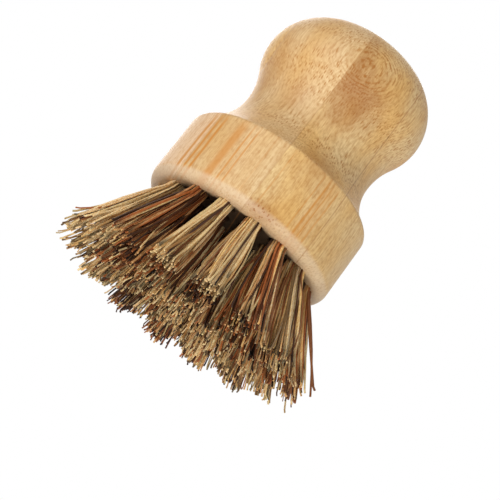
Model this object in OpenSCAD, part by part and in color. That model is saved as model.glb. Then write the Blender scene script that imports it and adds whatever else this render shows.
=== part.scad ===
// Round palm brush. Bamboo boards are glued side by side and turned to a domed knob,
// a waist and a collar. Tufts of plant fibre are folded in half, pushed into blind bores
// in the collar's underside and held there by wire staples. The handle's axis is Z, and
// the brush stands at z = 0 on the trimmed tips of its bristles.

/* [Handle] */
// Diameter of the collar that holds the tufts
collar_d = 50; // [48:0.5:60]
// Height of the collar's straight side and underside edge
collar_h = 17.7; // [17:0.1:26]
// Radius of the rounded edge round the underside
bottom_edge_r = 3; // [1:0.1:3.5]
// Radius of the shoulder on top of the collar
shoulder_r = 1.3; // [0.8:0.1:4]
// Radius of the hollow between the shoulder and the waist
cove_r = 15.3; // [13:0.1:24]
// Diameter of the waist
waist_d = 36.2; // [32:0.1:40]
// Radius of the hollow between the waist and the knob
neck_r = 21; // [14:0.5:30]
// Largest diameter of the knob
knob_d = 44.4; // [42:0.1:54]
// Radius of the knob's rounded side
knob_side_r = 12.7; // [8:0.1:18]
// Radius of the dome on top of the knob
dome_r = 43; // [30:0.5:80]

/* [Boards] */
// Thickness of one bamboo board
board_t = 16.9; // [14:0.1:18.5]
// Distance of the glue line nearest the axis from the axis
glue_line_x = -2.6; // [-3.4:0.1:-2.2]

/* [Tufts] */
// Diameter of the bores that hold the tufts
bore_d = 4.8; // [4:0.1:5]
// Depth of the bores
bore_depth = 12; // [9:0.1:13]
// Width of bare wood outside the outer bores
rim_w = 3.8; // [3.5:0.1:4.2]
// Distance between one ring of tufts and the next
ring_pitch = 6.3; // [6:0.1:6.6]
// Number of tufts in the outer ring
outer_count = 16; // [12:1:16]
// Number of tufts in the middle ring
middle_count = 11; // [8:1:11]
// Number of tufts in the inner ring
inner_count = 6; // [4:1:6]
// Direction of the first tuft of each ring, in degrees about Z
first_tuft_angle = -86; // [-90:1:-80]

/* [Bristles] */
// Length of the bristles from the wood to the trimmed tips
bristle_length = 22; // [15:0.5:40]
// Diameter over the splayed tips
tip_spread_d = 70; // [60:0.5:80]
// Diameter that one tuft splays to at its tips
tuft_tip_d = 9.6; // [7:0.1:9.8]
// Width of a bristle strand, less where the bore has no room for it
strand_w = 0.85; // [0.5:0.05:0.85]
// Number of strands round the outside of a tuft
rim_strands = 10; // [6:1:10]
// Number of strands round the one in the middle of a tuft
core_strands = 5; // [3:1:5]
// Difference between the longest and the shortest strand
tip_unevenness = 1.6; // [0:0.1:3]
// Depth to which the longest strands are trimmed flat
trim_depth = 0.5; // [0.1:0.1:1]

/* [Staples] */
// Diameter of the staple wire
staple_wire_d = 0.9; // [0.6:0.1:1.2]
// Distance between a staple's legs, centre to centre
staple_span = 2.6; // [2:0.1:3]
// Height of a staple's crown above the bottom of its bore
staple_crown_h = 1.8; // [1.2:0.1:3]
// Depth to which a staple's legs go into the wood past the bore
staple_bite = 4; // [2:0.1:4.2]

/* [Hidden] */
$fn = 96;
collar_r = collar_d / 2;
waist_r = waist_d / 2;
knob_r = knob_d / 2;
bore_r = bore_d / 2;
staple_r = staple_wire_d / 2;
// Cutting shapes run on past the surface that they cut
overcut = 1;
// Arcs overlap by this much where one meets the next, so that no sliver is left between them
arc_overlap = 0.0002;

// The handle's profile is a chain of arcs, each tangent to the next.
bottom_z = bristle_length;
shoulder_z = bottom_z + collar_h;
cove_angle = acos(1 - (collar_r - waist_r) / (shoulder_r + cove_r));
waist_z = shoulder_z + (shoulder_r + cove_r) * sin(cove_angle);
neck_angle = acos(1 - (knob_r - waist_r) / (neck_r + knob_side_r));
knob_z = waist_z + (neck_r + knob_side_r) * sin(neck_angle);
dome_angle = acos((knob_r - knob_side_r) / (dome_r - knob_side_r));
dome_z = knob_z - (dome_r - knob_side_r) * sin(dome_angle);
top_z = dome_z + dome_r;

// The glue lines run from left to right, and the outer boards go on past the turned wood.
glue_x = [glue_line_x - board_t, glue_line_x, glue_line_x + board_t];
blank_r = max(collar_r, knob_r) + overcut;

// Each ring has its radius and its number of tufts, and one more tuft is on the axis.
outer_ring_r = collar_r - rim_w - bore_r;
middle_ring_r = outer_ring_r - ring_pitch;
inner_ring_r = middle_ring_r - ring_pitch;
crown_z = bottom_z + bore_depth - staple_crown_h;
staple_end_z = bottom_z + bore_depth + staple_bite;

// The strands start just inside the bore's mouth and leave it clear of its edge.
root_depth = 0.3;
root_clearance = 0.2;
root_z = bottom_z + root_depth;
// Five strand radii fit from a tuft's axis to its edge: half a strand on the axis, then one
// core strand, then one rim strand
strand_r = min(strand_w / 2, (bore_r - root_clearance) / 5);
rim_circle_r = bore_r - strand_r - root_clearance;
core_circle_r = rim_circle_r / 2;
spread_scale = (tip_spread_d - tuft_tip_d) / 2 / outer_ring_r;
splay_scale = (tuft_tip_d / 2 - strand_r) / rim_circle_r;
bend_share = 0.5;
bend_spread = 0.42;
strand_sides = 3;
// Every fourth tuft is trimmed alike, so the tips' outline stays centred on the axis
trim_patterns = 4;

function tuft_name(ring, i) = str("tuft_", ring, "_", i);

function turn(i, count) = first_tuft_angle + 360 * (i - 1) / count;

// Half of the handle's profile, made of true arcs, with the radius along X and the height along Y
module profile() {
    shoulder_centre = [collar_r - shoulder_r, shoulder_z];
    cove_centre = [waist_r + cove_r, waist_z];
    neck_centre = [waist_r + neck_r, waist_z];
    knob_centre = [knob_r - knob_side_r, knob_z];
    dome_reach = 2 * dome_r;
    // Collar and its rounded underside
    translate([0, bottom_z])
        square([collar_r - bottom_edge_r, collar_h]);
    translate([0, bottom_z + bottom_edge_r])
        square([collar_r, collar_h - bottom_edge_r]);
    translate([collar_r - bottom_edge_r, bottom_z + bottom_edge_r])
        circle(r = bottom_edge_r);
    // Shoulder, and the hollow up to the waist
    translate(shoulder_centre)
        circle(r = shoulder_r + arc_overlap);
    difference() {
        polygon([
            [0, shoulder_z - overcut],
            [collar_r - shoulder_r, shoulder_z - overcut],
            shoulder_centre,
            cove_centre,
            [0, waist_z]
        ]);
        translate(cove_centre)
            circle(r = cove_r);
    }
    // Hollow from the waist to the knob
    difference() {
        polygon([
            [0, waist_z],
            neck_centre,
            knob_centre,
            [0, knob_z]
        ]);
        translate(neck_centre)
            circle(r = neck_r);
    }
    // Rounded side of the knob
    intersection() {
        translate(knob_centre)
            circle(r = knob_side_r + arc_overlap);
        translate([0, bottom_z])
            square([blank_r, top_z - bottom_z]);
    }
    // Dome
    intersection() {
        translate([0, dome_z])
            circle(r = dome_r);
        polygon([
            [0, dome_z],
            [dome_reach * cos(dome_angle), dome_z + dome_reach * sin(dome_angle)],
            [0, dome_z + dome_reach]
        ]);
    }
}

// The turned wood between two heights and between two glue lines
module turned_wood(x_low, x_high, z_low, z_high) {
    intersection() {
        rotate_extrude()
            profile();
        translate([x_low, -blank_r, z_low])
            cube([x_high - x_low, 2 * blank_r, z_high - z_low]);
    }
}

// Puts a tuft, a bore or a staple at each place of one ring
module ring_places(ring_r, count) {
    for (i = [1:count])
        rotate([0, 0, turn(i, count)])
            translate([ring_r, 0, 0])
                children();
}

module all_places() {
    ring_places(outer_ring_r, outer_count)
        children();
    ring_places(middle_ring_r, middle_count)
        children();
    ring_places(inner_ring_r, inner_count)
        children();
    ring_places(0, 1)
        children();
}

module bore() {
    translate([0, 0, bottom_z - overcut])
        cylinder(h = bore_depth + overcut, r = bore_r);
}

// A staple has its crown across the bore and its legs in the wood past the bore's end
module staple() {
    translate([0, -staple_span / 2, crown_z])
        rotate([-90, 0, 0])
            cylinder(h = staple_span, r = staple_r);
    for (side = [-1, 1])
        translate([0, side * staple_span / 2, crown_z]) {
            sphere(r = staple_r);
            cylinder(h = staple_end_z - crown_z, r = staple_r);
        }
}

module bored_wood(x_low, x_high, z_low, z_high) {
    difference() {
        turned_wood(x_low, x_high, z_low, z_high);
        all_places()
            bore();
        all_places()
            staple();
    }
}

module board_left() {
    color([0.86, 0.70, 0.48])
        bored_wood(glue_x[0], glue_x[1], 0, top_z + overcut);
}

module board_right() {
    color([0.80, 0.62, 0.40])
        bored_wood(glue_x[1], glue_x[2], 0, top_z + overcut);
}

// The outermost left board is turned through at the waist, so a part of it is left on the
// collar and another on the knob
module ply_left_collar() {
    color([0.89, 0.74, 0.55])
        bored_wood(-blank_r, glue_x[0], 0, waist_z);
}

module ply_left_knob() {
    color([0.89, 0.74, 0.55])
        turned_wood(-blank_r, glue_x[0], waist_z, top_z + overcut);
}

module ply_right() {
    color([0.83, 0.67, 0.45])
        bored_wood(glue_x[2], blank_r, 0, top_z + overcut);
}

// Share of the way from the bore's mouth to the trimmed tips that a height lies at
function fall(z) = (bottom_z - z) / bristle_length;

// The spread at a height, from 0 at the bore's mouth to 1 at the tips, with one bend between
function spread(z) =
    fall(z) < bend_share
        ? fall(z) * bend_spread / bend_share
        : bend_spread + (fall(z) - bend_share) * (1 - bend_spread) / (1 - bend_share);

// Every strand follows one rule of height: its tuft moves out from the axis and the tuft
// itself grows, so no strand meets another
function strand_centre(ring_r, root, z) = [
    ring_r * (spread_scale - 1) * spread(z) + root[0] * (1 + (splay_scale - 1) * spread(z)),
    root[1] * (1 + (splay_scale - 1) * spread(z)),
    z
];

function circle_points(r, count, start = 0) = [
    for (k = [0:count - 1])
        r * [cos(start + 360 * k / count), sin(start + 360 * k / count)]
];

// The first strand is on the tuft's axis
function strand_roots() = concat(
    [[0, 0]],
    circle_points(core_circle_r, core_strands),
    circle_points(rim_circle_r, rim_strands)
);

// One strand has level ends and is a closed skin of triangles over three rings of points
module strand(ring_r, root, tip_z, twist) {
    levels = [root_z, bottom_z - bristle_length * bend_share, tip_z];
    points = [
        for (z = levels, corner = circle_points(strand_r, strand_sides, twist))
            strand_centre(ring_r, root, z) + [corner[0], corner[1], 0]
    ];
    walls = [
        for (level = [0:len(levels) - 2], k = [0:strand_sides - 1])
            let (
                a = level * strand_sides + k,
                b = level * strand_sides + (k + 1) % strand_sides
            )
            each [[a, b, b + strand_sides], [a, b + strand_sides, a + strand_sides]]
    ];
    last = (len(levels) - 1) * strand_sides;
    polyhedron(points, concat([[2, 1, 0]], walls, [[last, last + 1, last + 2]]));
}

// A tuft is a packed plug of folded fibres in its bore and the strands that splay from it.
// The strand on its axis reaches the trimmed plane, where the brush stands
module tuft(ring_r, i, count) {
    roots = strand_roots();
    trims = rands(0, 1, len(roots), i % trim_patterns + 1);
    color([0.66, 0.55, 0.38])
        rotate([0, 0, turn(i, count)])
            translate([ring_r, 0, 0]) {
                difference() {
                    translate([0, 0, bottom_z])
                        cylinder(h = bore_depth, r = bore_r);
                    staple();
                }
                for (j = [0:len(roots) - 1])
                    strand(
                        ring_r, roots[j],
                        j == 0 ? 0 : max(0, trims[j] * tip_unevenness - trim_depth),
                        360 * trims[j]
                    );
            }
}

module staples(ring_r, count) {
    color([0.78, 0.79, 0.80])
        ring_places(ring_r, count)
            staple();
}

board_left();
board_right();
ply_left_collar();
ply_left_knob();
ply_right();
for (i = [1:outer_count])
    tuft(outer_ring_r, i, outer_count);
for (i = [1:middle_count])
    tuft(middle_ring_r, i, middle_count);
for (i = [1:inner_count])
    tuft(inner_ring_r, i, inner_count);
tuft(0, 1, 1);  // tuft_centre
staples(outer_ring_r, outer_count);  // staples_outer
staples(middle_ring_r, middle_count);  // staples_middle
staples(inner_ring_r, inner_count);  // staples_inner
staples(0, 1);  // staple_centre
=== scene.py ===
"""Looks of the palm brush: turned bamboo boards and splayed tufts of plant fibre."""

import logging
import math
from dataclasses import dataclass, field
from enum import Enum

import bmesh
import bpy
import numpy as np
from mathutils import Matrix, Vector


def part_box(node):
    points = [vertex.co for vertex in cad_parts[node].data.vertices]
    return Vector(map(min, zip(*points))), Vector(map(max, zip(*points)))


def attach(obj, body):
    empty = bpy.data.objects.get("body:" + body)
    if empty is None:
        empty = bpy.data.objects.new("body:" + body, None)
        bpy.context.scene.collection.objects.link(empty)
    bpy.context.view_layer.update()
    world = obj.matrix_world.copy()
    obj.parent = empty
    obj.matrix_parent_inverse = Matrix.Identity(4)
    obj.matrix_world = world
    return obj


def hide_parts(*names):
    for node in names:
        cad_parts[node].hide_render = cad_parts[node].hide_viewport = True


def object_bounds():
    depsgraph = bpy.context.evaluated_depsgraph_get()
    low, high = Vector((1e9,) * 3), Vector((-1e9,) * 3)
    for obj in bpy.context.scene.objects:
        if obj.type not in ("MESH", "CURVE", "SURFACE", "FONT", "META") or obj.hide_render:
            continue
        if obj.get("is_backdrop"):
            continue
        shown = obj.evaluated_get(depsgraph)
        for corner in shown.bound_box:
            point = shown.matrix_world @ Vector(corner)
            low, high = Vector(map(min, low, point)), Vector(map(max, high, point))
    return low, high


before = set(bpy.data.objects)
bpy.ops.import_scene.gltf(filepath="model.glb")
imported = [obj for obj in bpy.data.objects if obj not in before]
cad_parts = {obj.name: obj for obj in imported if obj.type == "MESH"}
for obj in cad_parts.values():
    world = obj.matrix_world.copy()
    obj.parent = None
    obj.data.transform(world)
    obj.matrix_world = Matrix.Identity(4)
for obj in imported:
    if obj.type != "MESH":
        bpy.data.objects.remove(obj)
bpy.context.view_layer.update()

log = logging.getLogger("palm_brush")

Colour = tuple[float, float, float, float]
Triple = tuple[float, float, float]
Outline = list[tuple[float, float]]
Socket = bpy.types.NodeSocket
Piece = bpy.types.Object

MM = 0.001
BODY = "root"
WHITE = (1.0, 1.0, 1.0, 1.0)
SAME_PLANE = 0.05 * MM


def tone(red: int, green: int, blue: int) -> Colour:
    """Turns a colour as it looks on a screen into linear light.

    Args:
        red: Red from 0 to 255.
        green: Green from 0 to 255.
        blue: Blue from 0 to 255.

    Returns:
        The linear colour with an alpha of 1.
    """
    channels = [c / 255 for c in (red, green, blue)]
    linear = [c / 12.92 if c <= 0.04045 else ((c + 0.055) / 1.055) ** 2.4 for c in channels]
    return (*linear, 1.0)


def deselect_all() -> None:
    """Leaves no object selected, so that an operator acts on one piece only."""
    if bpy.context.object and bpy.context.object.mode != "OBJECT":
        bpy.ops.object.mode_set(mode="OBJECT")
    bpy.ops.object.select_all(action="DESELECT")


def activate(piece: Piece) -> None:
    """Makes one piece the only selected and the active one.

    Args:
        piece: The piece to work on.
    """
    deselect_all()
    piece.select_set(True)
    bpy.context.view_layer.objects.active = piece


def edit_all(piece: Piece) -> None:
    """Opens a piece in edit mode with all of it selected.

    Args:
        piece: The piece to work on.
    """
    activate(piece)
    bpy.ops.object.mode_set(mode="EDIT")
    bpy.ops.mesh.select_all(action="SELECT")


def new_piece(name: str, mesh: bpy.types.Mesh) -> Piece:
    """Places a mesh in the scene as a piece at the origin.

    Args:
        name: Name of the piece.
        mesh: Its mesh.

    Returns:
        The piece.
    """
    piece = bpy.data.objects.new(name, mesh)
    bpy.context.scene.collection.objects.link(piece)
    return piece


def wear(piece: Piece, material: bpy.types.Material) -> None:
    """Gives a piece one material in place of any that it has.

    Args:
        piece: The piece to dress.
        material: The material that it takes.
    """
    piece.data.materials.clear()
    piece.data.materials.append(material)


class Sheet:
    """A material's node sheet, with short calls for the nodes that the finishes use."""

    def __init__(self, name: str) -> None:
        """Starts an empty material with a Principled surface.

        Args:
            name: Name of the material.
        """
        self.material = bpy.data.materials.new(name)
        self.material.use_nodes = True
        self.nodes = self.material.node_tree.nodes
        self.links = self.material.node_tree.links
        self.surface = self.nodes["Principled BSDF"]
        self.output = self.nodes["Material Output"]

    def add(self, kind: str, **settings: object) -> bpy.types.Node:
        """Adds a node and sets its properties.

        Args:
            kind: Blender's name of the node type.
            **settings: Properties of the node.

        Returns:
            The new node.
        """
        node = self.nodes.new(kind)
        for name, value in settings.items():
            setattr(node, name, value)
        return node

    def feed(self, socket: Socket, value: object) -> None:
        """Links an output to a socket, or sets the socket's own value.

        Args:
            socket: The input socket.
            value: An output socket, or a number, vector or colour.
        """
        if isinstance(value, Socket):
            self.links.new(value, socket)
        else:
            socket.default_value = value

    def finish(self, colour: object, roughness: object, shine: float = 0.5, metal: float = 0.0) -> None:
        """Feeds the surface.

        Args:
            colour: Base colour.
            roughness: Roughness, from 0 to 1.
            shine: Strength of the reflection, from 0 to 1.
            metal: Share of bare metal, from 0 to 1.
        """
        self.feed(self.surface.inputs["Base Color"], colour)
        self.feed(self.surface.inputs["Roughness"], roughness)
        self.surface.inputs["Specular IOR Level"].default_value = shine
        self.surface.inputs["Metallic"].default_value = metal

    def math(self, operation: str, a: object, b: object = 0.0, clamp: bool = False) -> Socket:
        """Works out one number from two.

        Args:
            operation: The Math node's operation.
            a: First number or output.
            b: Second number or output.
            clamp: Whether the result is kept from 0 to 1.

        Returns:
            The result's socket.
        """
        node = self.add("ShaderNodeMath", operation=operation, use_clamp=clamp)
        self.feed(node.inputs[0], a)
        self.feed(node.inputs[1], b)
        return node.outputs[0]

    def times(self, product: object, *factors: object) -> Socket:
        """Multiplies numbers, from left to right.

        Args:
            product: First number or output.
            *factors: The numbers or outputs that it is multiplied by.

        Returns:
            The product's socket.
        """
        for factor in factors:
            product = self.math("MULTIPLY", product, factor)
        return product

    def vector(self, operation: str, a: object, b: object = (0.0, 0.0, 0.0)) -> Socket:
        """Works out one vector from two.

        Args:
            operation: The Vector Math node's operation.
            a: First vector or output.
            b: Second vector or output.

        Returns:
            The result's socket.
        """
        node = self.add("ShaderNodeVectorMath", operation=operation)
        self.feed(node.inputs[0], a)
        self.feed(node.inputs[1], b)
        return node.outputs["Value" if operation in ("LENGTH", "DOT_PRODUCT") else "Vector"]

    def stretched(self, place: object, factors: Triple) -> Socket:
        """Multiplies a place by a factor along each axis.

        Args:
            place: The vector to stretch.
            factors: The factors along X, Y and Z.

        Returns:
            The stretched place's socket.
        """
        return self.vector("MULTIPLY", place, factors)

    def split(self, place: object) -> tuple[Socket, Socket, Socket]:
        """Splits a vector into its parts.

        Args:
            place: The vector to split.

        Returns:
            The sockets of X, Y and Z.
        """
        node = self.add("ShaderNodeSeparateXYZ")
        self.feed(node.inputs[0], place)
        return tuple(node.outputs)

    def coordinate(self, kind: str) -> Socket:
        """Reads a texture coordinate.

        Args:
            kind: Its name, such as Object or Normal.

        Returns:
            The coordinate's socket.
        """
        return self.add("ShaderNodeTexCoord").outputs[kind]

    def place_mm(self) -> Socket:
        """Reads each point's place on the brush in mm.

        Returns:
            The place's socket.
        """
        return self.stretched(self.coordinate("Object"), (1 / MM, 1 / MM, 1 / MM))

    def ramp(self, value: object, low: float, high: float) -> Socket:
        """Rises smoothly from 0 at low to 1 at high, or falls where low is above high.

        Args:
            value: The number to look up.
            low: Where the result is 0.
            high: Where the result is 1.

        Returns:
            The result's socket.
        """
        node = self.add("ShaderNodeMapRange", interpolation_type="SMOOTHSTEP")
        self.feed(node.inputs["Value"], value)
        node.inputs["From Min"].default_value = min(low, high)
        node.inputs["From Max"].default_value = max(low, high)
        node.inputs["To Min"].default_value = 0.0 if low < high else 1.0
        node.inputs["To Max"].default_value = 1.0 if low < high else 0.0
        return node.outputs["Result"]

    def line(self, across: object, at: float, width: float, core: float) -> Socket:
        """Draws a soft line across a value.

        Args:
            across: The value that is measured across the line.
            at: The value at the line's middle.
            width: How far from the middle the line ends.
            core: How far from the middle it is at its full strength.

        Returns:
            The line's strength, from 0 to 1.
        """
        away = self.math("ABSOLUTE", self.math("SUBTRACT", across, at))
        return self.ramp(away, width, core)

    def spread(self, value: object, low: float, high: float) -> Socket:
        """Maps 0 to 1 onto low to high.

        Args:
            value: The number from 0 to 1.
            low: The result at 0.
            high: The result at 1.

        Returns:
            The result's socket.
        """
        node = self.add("ShaderNodeMapRange")
        self.feed(node.inputs["Value"], value)
        node.inputs["To Min"].default_value = low
        node.inputs["To Max"].default_value = high
        return node.outputs["Result"]

    def noise(
        self, place: object, stretch: Triple, scale: float = 1.0, detail: float = 3.0, output: str = "Fac"
    ) -> Socket:
        """Reads a noise at a place.

        Args:
            place: The vector to read at.
            stretch: Factors along X, Y and Z that the place is multiplied by first.
            scale: Number of bumps per unit of the stretched place.
            detail: How many finer layers there are.
            output: Which output to read.

        Returns:
            The noise's socket, about 0.5 on average.
        """
        node = self.add("ShaderNodeTexNoise")
        self.feed(node.inputs["Vector"], self.stretched(place, stretch))
        node.inputs["Scale"].default_value = scale
        node.inputs["Detail"].default_value = detail
        return node.outputs[output]

    def cells(self, place: object, stretch: Triple, randomness: float = 1.0) -> Socket:
        """Reads the distance to the nearest point of a scattered grid with a spacing of 1.

        Args:
            place: The vector to read at.
            stretch: Factors along X, Y and Z that the place is multiplied by first.
            randomness: How far the points stray from the grid.

        Returns:
            The distance's socket.
        """
        node = self.add("ShaderNodeTexVoronoi")
        self.feed(node.inputs["Vector"], self.stretched(place, stretch))
        node.inputs["Scale"].default_value = 1.0
        node.inputs["Randomness"].default_value = randomness
        return node.outputs["Distance"]

    def mix(self, share: object, a: object, b: object, blend: str = "MIX") -> Socket:
        """Mixes two colours.

        Args:
            share: Share of the second colour.
            a: First colour or output.
            b: Second colour or output.
            blend: The Mix node's blend type.

        Returns:
            The mixed colour's socket.
        """
        node = self.add("ShaderNodeMix", data_type="RGBA", blend_type=blend)
        share_socket, *_, a_socket, b_socket = [s for s in node.inputs if s.enabled]
        self.feed(share_socket, share)
        self.feed(a_socket, a)
        self.feed(b_socket, b)
        return next(s for s in node.outputs if s.enabled)

    def mix_surfaces(self, share: object, a: Socket, b: Socket) -> Socket:
        """Mixes two surfaces.

        Args:
            share: Share of the second surface.
            a: First surface.
            b: Second surface.

        Returns:
            The mixed surface's socket.
        """
        node = self.add("ShaderNodeMixShader")
        for socket, value in zip(node.inputs, (share, a, b)):
            self.feed(socket, value)
        return node.outputs[0]

    def bump(self, height: object, strength: float, distance: float) -> None:
        """Raises the surface's normal by a height.

        Args:
            height: The height, from 0 to 1.
            strength: Strength of the effect.
            distance: Real height of a step of 1, in metres.
        """
        node = self.add("ShaderNodeBump")
        node.inputs["Strength"].default_value = strength
        node.inputs["Distance"].default_value = distance
        self.feed(node.inputs["Height"], height)
        self.links.new(node.outputs["Normal"], self.surface.inputs["Normal"])


@dataclass(frozen=True)
class Streak:
    """A line along the grain where fibres lie closer together, seen as a plane across the wood.

    Attributes:
        x: Distance of its plane from the handle's axis, in mm.
        width: Width of the line, in mm.
        strength: How far it darkens the wood, from 0 to 1.
        top: Height above which it is gone, in mm.
        fade: How far below its top it begins to fade, in mm.
    """

    x: float
    width: float
    strength: float
    top: float = 42.0
    fade: float = 6.0


@dataclass(frozen=True)
class Blotch:
    """A soft-edged darker place in the wood, such as one near a bamboo's node.

    Attributes:
        centre: Its middle, in mm.
        reach: Its half sizes along X, Y and Z, in mm.
        strength: How far it darkens the wood, from 0 to 1.
        speckle: How far it breaks up into specks, from 0 to 1.
    """

    centre: Triple
    reach: Triple
    strength: float
    speckle: float = 0.0


@dataclass(frozen=True)
class BambooFinish:
    """Oiled bamboo, whose darker fibre bundles run along Z in layers across the board.

    Attributes:
        name: Name of the material.
        slot: The record's material slot; not used.
        pith: Colour of the soft wood between the bundles.
        warm: Colour of the warmer patches.
        bundle: Colour of a fibre bundle.
        phase: Shifts the grain, in mm, so that no two boards have the same.
        glue: The X of each of the board's glue lines in mm, and how dark it is from 0 to 1.
        streaks: Lines along the grain.
        blotches: Darker places.
        ring_strength: How far the thin growth layers darken the knob, from 0 to 1.
        glue_line: Colour of a glue line.
        stain: Colour of the darker places.
        line: Colour of the streaks.
        edge: Colour of the paler lower edge: partly end grain worn pale by sanding, partly painted light from
            below on the faces that look down.
        underside: Colour of the painted shade on the underside between the tufts.
        edge_z: Height up to which the lower edge is made paler and the underside is painted with shade, in
            mm.
        shaded_r: Radius within which the underside is painted with shade, in mm.
        dot_strength: How far a bundle darkens the wood, from 0 to 1.
        layer_strength: How far the broad growth layers darken the wood, from 0 to 1.
        ring_pitch: Distance between the thin growth layers, in mm.
        ring_y: Distances from the middle plane between which the rings come out, in mm.
        ring_z: Heights between which they come out, in mm.
        bundle_pitch: Distance between bundles in a layer, in mm.
        layer_pitch: Distance between broad growth layers, in mm.
        bundle_length: Usual length of a bundle that the surface cuts along, in mm.
        grain: Factors along X, Y and Z that draw the fine grain out along the handle.
        roughness: Roughness from the smoothest to the roughest grain.
        shine: Strength of the oil's reflection, from 0 to 1.
        relief: Height of the raised grain, in metres.
    """

    name: str
    slot: str
    pith: Colour
    warm: Colour
    bundle: Colour
    phase: float
    glue: tuple[tuple[float, float], ...]
    streaks: tuple[Streak, ...] = ()
    blotches: tuple[Blotch, ...] = ()
    ring_strength: float = 0.25
    glue_line: Colour = tone(166, 112, 60)
    stain: Colour = tone(152, 92, 30)
    line: Colour = tone(200, 132, 50)
    edge: Colour = tone(216, 194, 164)
    # Painted shade: the dark colour of the underside between the tufts.
    underside: Colour = tone(36, 22, 12)
    edge_z: float = 26.0
    shaded_r: float = 21.4
    dot_strength: float = 0.9
    layer_strength: float = 0.14
    ring_pitch: float = 0.34
    ring_y: tuple[float, float] = (19.2, 21.0)
    ring_z: tuple[float, float] = (55.0, 59.0)
    bundle_pitch: float = 0.52
    layer_pitch: float = 0.65
    bundle_length: float = 5.0
    grain: Triple = (4.0, 4.0, 0.09)
    roughness: tuple[float, float] = (0.42, 0.56)
    shine: float = 0.35
    relief: float = 0.08 * MM

    def dress(self, piece: Piece) -> None:
        """Gives a piece this finish.

        Args:
            piece: The board to dress.
        """
        sheet = Sheet(self.name)
        in_mm = sheet.place_mm()
        place = self.grown(sheet, in_mm)
        bundles = self.bundles(sheet, place)
        grain = sheet.noise(place, self.grain, detail=5.0)
        colour = self.ground(sheet, place, in_mm, grain)
        colour = sheet.mix(sheet.times(bundles, self.dot_strength), colour, self.bundle)
        colour = self.streaked(sheet, place, in_mm, colour)
        colour = self.marked(sheet, in_mm, colour)
        colour = self.glued(sheet, in_mm, colour)
        sheet.finish(colour, sheet.spread(grain, *self.roughness), shine=self.shine)
        height = sheet.math("SUBTRACT", grain, sheet.times(bundles, 0.7))
        sheet.bump(height, strength=0.22, distance=self.relief)
        wear(piece, sheet.material)

    def grown(self, sheet: Sheet, in_mm: Socket) -> Socket:
        """Bends the wood's place a little, as grown fibres are bent.

        Args:
            sheet: The material's sheet.
            in_mm: The place in mm.

        Returns:
            The bent place's socket.
        """
        shifted = sheet.vector("ADD", in_mm, (0.0, self.phase, 3 * self.phase))
        sway = sheet.noise(shifted, (0.6, 0.6, 1.0), scale=0.035, detail=2.0, output="Color")
        centred = sheet.vector("SUBTRACT", sway, (0.5, 0.5, 0.5))
        bend = sheet.stretched(centred, (1.2, 5.0, 0.0))
        return sheet.vector("ADD", in_mm, bend)

    def bundles(self, sheet: Sheet, place: Socket) -> Socket:
        """Finds the fibre bundles: dots where the wood is cut across, dashes where it is cut along.

        Args:
            sheet: The material's sheet.
            place: The bent place in mm.

        Returns:
            A value of 1 in a bundle and 0 between bundles.
        """
        shifted = sheet.vector("ADD", place, (self.phase, 2 * self.phase, 5 * self.phase))
        cell = (1 / self.bundle_pitch, 1 / self.layer_pitch, 1 / self.bundle_length)
        dots = sheet.ramp(sheet.cells(shifted, cell, randomness=0.7), 0.42, 0.16)
        patches = sheet.ramp(sheet.noise(shifted, (1.0, 1.0, 0.4), scale=0.09, detail=2.0), 0.3, 0.62)
        upright = sheet.vector("DOT_PRODUCT", sheet.coordinate("Normal"), (0.0, 0.0, 1.0))
        cut_across = sheet.ramp(sheet.math("ABSOLUTE", upright), 0.02, 0.3)
        return sheet.times(dots, sheet.spread(patches, 0.5, 1.0), sheet.spread(cut_across, 0.12, 1.0))

    def ground(self, sheet: Sheet, place: Socket, in_mm: Socket, grain: Socket) -> Socket:
        """Mixes the wood's own colour from broad patches, growth layers and fine grain.

        Args:
            sheet: The material's sheet.
            place: The bent place in mm.
            in_mm: The place in mm.
            grain: The fine grain, about 0.5 on average.

        Returns:
            The colour's socket.
        """
        broad = sheet.noise(place, (1.0, 1.0, 0.35), scale=0.11, detail=2.0)
        colour = sheet.mix(sheet.ramp(broad, 0.32, 0.72), self.pith, self.warm)
        _, y, _ = sheet.split(place)
        turns = sheet.times(y, 2 * math.pi / self.layer_pitch)
        layers = sheet.times(sheet.math("SINE", turns), self.layer_strength / 2)
        streaky = sheet.times(sheet.ramp(grain, 0.35, 0.68), 0.3)
        flecks = sheet.times(sheet.ramp(sheet.noise(place, (1.6, 1.6, 0.8)), 0.42, 0.66), 0.3)
        figure = sheet.math("ADD", sheet.math("ADD", streaky, flecks), self.rings(sheet, place, in_mm))
        darker = sheet.math("ADD", sheet.math("ADD", layers, self.layer_strength / 2), figure, clamp=True)
        return sheet.mix(darker, colour, self.bundle)

    def rings(self, sheet: Sheet, place: Socket, in_mm: Socket) -> Socket:
        """Finds the thin growth layers, which show as rings where the knob cuts them nearly flat.

        Args:
            sheet: The material's sheet.
            place: The bent place in mm.
            in_mm: The place in mm.

        Returns:
            The rings' strength.
        """
        _, y, z = sheet.split(in_mm)
        waver = sheet.noise(place, (0.5, 0.5, 0.3), detail=2.0)
        turns = sheet.math("ADD", sheet.math("DIVIDE", y, self.ring_pitch), waver)
        ripple = sheet.ramp(sheet.math("SINE", sheet.times(turns, 2 * math.pi)), -0.3, 0.9)
        dashes = sheet.ramp(sheet.noise(place, (1.3, 0.4, 0.9), detail=1.0), 0.36, 0.6)
        at_front = sheet.ramp(sheet.math("ABSOLUTE", y), *self.ring_y)
        on_knob = sheet.ramp(z, *self.ring_z)
        strength = sheet.times(at_front, on_knob, self.ring_strength)
        return sheet.times(ripple, dashes, strength)

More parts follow.
